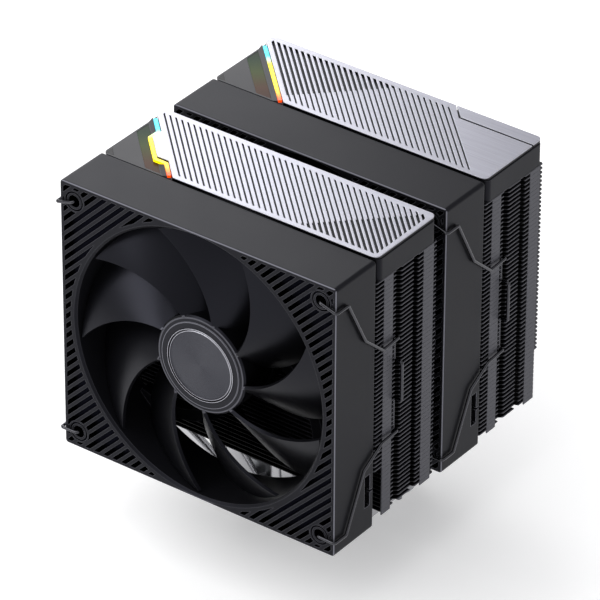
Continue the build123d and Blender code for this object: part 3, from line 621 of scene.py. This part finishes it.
# ---------------------------------------------------------------- pieces made here
class COOLER_OT_hub_caps(bpy.types.Operator):
    """Turns the spun metal caps with their stepped rings"""

    bl_idname = "cooler.hub_caps"
    bl_label = "Hub caps"

    def execute(self, context):
        paints = context.scene.cooler_paints
        step = context.scene.cooler_sizes.cap_step
        for side in SIDES:
            low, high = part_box("hub_cap_" + side)
            centre = (low + high) / 2
            radius = (high.x - low.x) / 2
            clear_selection()
            bpy.ops.mesh.primitive_cylinder_add(
                vertices=128, radius=radius, depth=high.y - low.y - step, end_fill_type="NGON",
                location=(centre.x, (low.y + step + high.y) / 2, centre.z), rotation=(math.radians(90), 0, 0),
            )
            cap = begin("hub_cap_spun_" + side)
            select_faces(cap, lambda at, normal: normal.z > 0.9)
            for width, rise in CAP_RINGS:
                bpy.ops.mesh.inset(thickness=width * MM, depth=rise * step)
            bpy.ops.object.mode_set(mode="OBJECT")
            finish = Finish("hub_spun_metal_" + side, Metallic=1.0, Anisotropic=0.95)
            around = finish.node("Tangent", direction_type="RADIAL", axis="Y").outputs["Tangent"]
            finish.put(finish.shader.inputs["Tangent"], around)
            away = finish.reach(centre)
            fine = finish.wave(finish.place((0.21 * MM,) * 3, centre), "RINGS", "Y", 0.5, 1.0)
            soft = finish.soft_normal(0.1 * MM)
            # Painted highlights: two pale bands on the raised rings near the cap's edge. Painted shade: a
            # near-black band in the sunken ring between them.
            outer_ring_highlight = finish.band(away, radius - 0.35 * MM, radius, 0.08 * MM)
            inner_ring_highlight = finish.band(away, radius - 1.25 * MM, radius - 1.0 * MM, 0.08 * MM)
            disc = finish.mix(finish.spread(fine, 0.0, 0.6), paints.hub_disc, paint("5c5d64"))
            groove_shade = finish.band(away, radius - 0.9 * MM, radius - 0.45 * MM, 0.05 * MM)
            turned = finish.mix(groove_shade, disc, paint("101012"))
            tone = finish.mix(finish.maths("MAXIMUM", outer_ring_highlight, inner_ring_highlight), turned, paint("b0b0b8"))
            finish.put(finish.shader.inputs["Base Color"], tone)
            finish.put(finish.shader.inputs["Roughness"], finish.spread(fine, 0.24, 0.3))
            finish.put(finish.shader.inputs["Normal"], finish.bump(fine, 0.02 * MM, 0.6, soft))
            hand_over(cap, finish, "rotor_" + side, "hub_metal", "hub_cap_" + side)
        hub = Finish("rotor_steel", Metallic=1.0)
        hub.tone_and_edge_highlight(paint("8f9094"), paint("c8c8cc"), 0.3 * MM, 0.006 * MM, 0.15 * MM, (0.28, 0.4))
        finish_all("hub_metal", hub)
        return {"FINISHED"}


class COOLER_OT_screws(bpy.types.Operator):
    """Finishes the mounting screws, with the thread rolled on their tips"""

    bl_idname = "cooler.screws"
    bl_label = "Mounting screws"

    def execute(self, context):
        pitch = context.scene.cooler_sizes.thread_pitch
        thread_length = 4 * MM
        thread_depth = 0.25 * MM
        for hand in HANDS:
            low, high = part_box("spring_screw_" + hand)
            steel = Finish("screw_rolled_thread_" + hand, Metallic=1.0)
            steel.tone_and_edge_highlight(
                paint("9b9ca0"), paint("d8d8dc"), 0.25 * MM, 0.006 * MM, 0.15 * MM, (0.24, 0.38), 8 * MM
            )
            tip = ((low.x + high.x) / 2, (low.y + high.y) / 2, low.z)
            parts = steel.node("SeparateXYZ", {"Vector": steel.place(at=tip)}).outputs
            angle = steel.maths("DIVIDE", steel.maths("ARCTAN2", parts["Y"], parts["X"]), math.tau)
            climb = steel.maths("SUBTRACT", steel.maths("DIVIDE", parts["Z"], pitch), angle)
            ridge = steel.maths("MULTIPLY", steel.maths("PINGPONG", climb, 0.5), 2.0)
            threaded = steel.step(parts["Z"], thread_length, thread_length - 0.1 * MM)
            height = steel.maths("MULTIPLY", ridge, threaded)
            smooth_normal = steel.shader.inputs["Normal"].links[0].from_socket
            steel.put(steel.shader.inputs["Normal"], steel.bump(height, thread_depth, 1.0, smooth_normal))
            repaint("spring_screw_" + hand, steel)
        return {"FINISHED"}


class COOLER_OT_springs(bpy.types.Operator):
    """Winds the screw springs, with a closed turn at each end"""

    bl_idname = "cooler.springs"
    bl_label = "Screw springs"

    def execute(self, context):
        wire = context.scene.cooler_sizes.spring_wire
        steel = Finish("spring_steel", Metallic=1.0)
        steel.tone_and_edge_highlight(paint("a7a8ac"), paint("dedee2"), 0.3 * MM, 0.004 * MM, 0.1 * MM, (0.18, 0.3), 5 * MM)
        for hand in HANDS:
            low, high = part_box("screw_spring_" + hand)
            centre = (low + high) / 2
            coil = (high.x - low.x) / 2 - wire / 2
            tall = high.z - low.z - wire
            closed = wire * 1.05
            rises = ((END_TURNS, closed), (OPEN_TURNS, tall - 2 * closed), (END_TURNS, closed))
            parts = []
            turned, height = 0.0, low.z + wire / 2
            for turns, rise in rises:
                clear_selection()
                bpy.ops.mesh.primitive_circle_add(
                    vertices=12, radius=wire / 2, location=(coil, 0, 0), rotation=(math.radians(90), 0, 0)
                )
                part = bpy.context.object
                settle(part)
                winding = part.modifiers.new("winding", "SCREW")
                winding.angle = math.tau * turns
                winding.screw_offset = rise
                winding.steps = winding.render_steps = int(TURN_FACETS * turns)
                bpy.ops.object.modifier_apply(modifier=winding.name)
                part.location = (centre.x, centre.y, height)
                part.rotation_euler.z = math.tau * turned
                settle(part)
                parts.append(part)
                turned += turns
                height += rise
            clear_selection()
            for part in parts:
                part.select_set(True)
            bpy.context.view_layer.objects.active = parts[0]
            bpy.ops.object.join()
            spring = begin("wound_spring_" + hand)
            bpy.ops.mesh.select_mode(type="VERT")
            bpy.ops.mesh.select_all(action="SELECT")
            bpy.ops.mesh.remove_doubles(threshold=0.02 * MM)
            bpy.ops.mesh.select_all(action="DESELECT")
            bpy.ops.mesh.select_non_manifold()
            bpy.ops.mesh.fill()
            bpy.ops.mesh.select_all(action="SELECT")
            bpy.ops.mesh.normals_make_consistent(inside=False)
            bpy.ops.object.mode_set(mode="OBJECT")
            hand_over(spring, steel, "root", "steel", "screw_spring_" + hand)
            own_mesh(spring)
        return {"FINISHED"}


# ---------------------------------------------------------------- stage
class COOLER_OT_stage(bpy.types.Operator):
    """Lays the pale floor and sets the softboxes and the camera"""

    bl_idname = "cooler.stage"
    bl_label = "Stage"

    def execute(self, context):
        stage = context.scene.cooler_stage
        clear_selection()
        bpy.ops.mesh.primitive_plane_add(size=FLOOR_WIDTH, location=(0, 0, 0))
        floor = context.object
        floor.name = "studio_floor"
        paper = Finish("studio_floor_paper", Roughness=0.95, Specular_IOR_Level=0.1)
        fibre = paper.noise(paper.place((4 * MM,) * 3), 2.0)
        paper.put(paper.shader.inputs["Base Color"], paper.mix(fibre, stage.floor, paint("fafafa")))
        paper.shader.inputs["Emission Color"].default_value = stage.floor
        paper.shader.inputs["Emission Strength"].default_value = stage.table_glow
        floor.data.materials.append(paper.material)
        # Name, power, width and place of each.
        softboxes = (
            ("sky_softbox", stage.sky_power, 1.6, (-0.25, -0.7, 1.8)),
            ("back_softbox", stage.back_power, 0.5, (-0.66, 0.52, 0.58)),
            ("key_softbox", stage.key_power, 0.3, (-0.36, -0.5, 0.4)),
        )
        for name, watts, size, place in softboxes:
            bpy.ops.object.light_add(type="AREA", location=place)
            box = context.object
            box.name = name
            box.data.shape = "SQUARE"
            box.data.size = size
            box.data.energy = watts
            towards = Vector(stage.aim) - Vector(place)
            box.rotation_euler = towards.to_track_quat("-Z", "Y").to_euler()
        world = bpy.data.worlds.new("studio_air")
        world.use_nodes = True
        air = world.node_tree.nodes["Background"]
        air.inputs["Color"].default_value = paint("f2f2f4")
        air.inputs["Strength"].default_value = stage.air
        context.scene.world = world
        context.scene.view_settings.view_transform = "Standard"
        self.set_camera(context, stage)
        return {"FINISHED"}

    def set_camera(self, context, stage):
        turn, rise = stage.azimuth, stage.elevation
        back = Vector((math.sin(turn) * math.cos(rise), -math.cos(turn) * math.cos(rise), math.sin(rise)))
        right = Vector((0, 0, 1)).cross(back).normalized()
        up = back.cross(right)
        axes = Matrix((right, up, back)).transposed() @ Matrix.Rotation(-stage.roll, 3, "Z").inverted()
        bpy.ops.object.camera_add(location=Vector(stage.aim) + back * stage.distance)
        camera = context.object
        camera.name = "product_camera"
        camera.rotation_euler = axes.to_euler()
        camera.data.sensor_width = 36
        camera.data.lens = stage.focal
        camera.data.clip_start = 0.1
        context.scene.camera = camera


# ---------------------------------------------------------------- add-on
STEPS = (
    COOLER_OT_stage,
    COOLER_OT_fans,
    COOLER_OT_motors,
    COOLER_OT_towers,
    COOLER_OT_clips,
    COOLER_OT_covers,
    COOLER_OT_lights,
    COOLER_OT_hub_caps,
    COOLER_OT_screws,
    COOLER_OT_springs,
)
SETTINGS = {
    "cooler_paints": CoolerPaints,
    "cooler_light": CoolerLight,
    "cooler_sizes": CoolerSizes,
    "cooler_stage": CoolerStage,
}


class COOLER_PT_panel(bpy.types.Panel):
    """Lists the cooler's settings and its operators"""

    bl_idname = "COOLER_PT_panel"
    bl_label = "Dual Tower Cooler"
    bl_space_type = "VIEW_3D"
    bl_region_type = "UI"
    bl_category = "Cooler"

    def draw(self, context):
        for name, group in SETTINGS.items():
            box = self.layout.box()
            for setting in group.__annotations__:
                box.prop(getattr(context.scene, name), setting)
        for step in STEPS:
            self.layout.operator(step.bl_idname)


def register():
    for name, group in SETTINGS.items():
        bpy.utils.register_class(group)
        setattr(bpy.types.Scene, name, bpy.props.PointerProperty(type=group))
    for step in STEPS:
        bpy.utils.register_class(step)
    bpy.utils.register_class(COOLER_PT_panel)


def unregister():
    bpy.utils.unregister_class(COOLER_PT_panel)
    for step in reversed(STEPS):
        bpy.utils.unregister_class(step)
    for name, group in SETTINGS.items():
        delattr(bpy.types.Scene, name)
        bpy.utils.unregister_class(group)


def main():
    register()
    for step in STEPS:
        family, action = step.bl_idname.split(".")
        getattr(getattr(bpy.ops, family), action)()


if __name__ == "__main__":
    main()
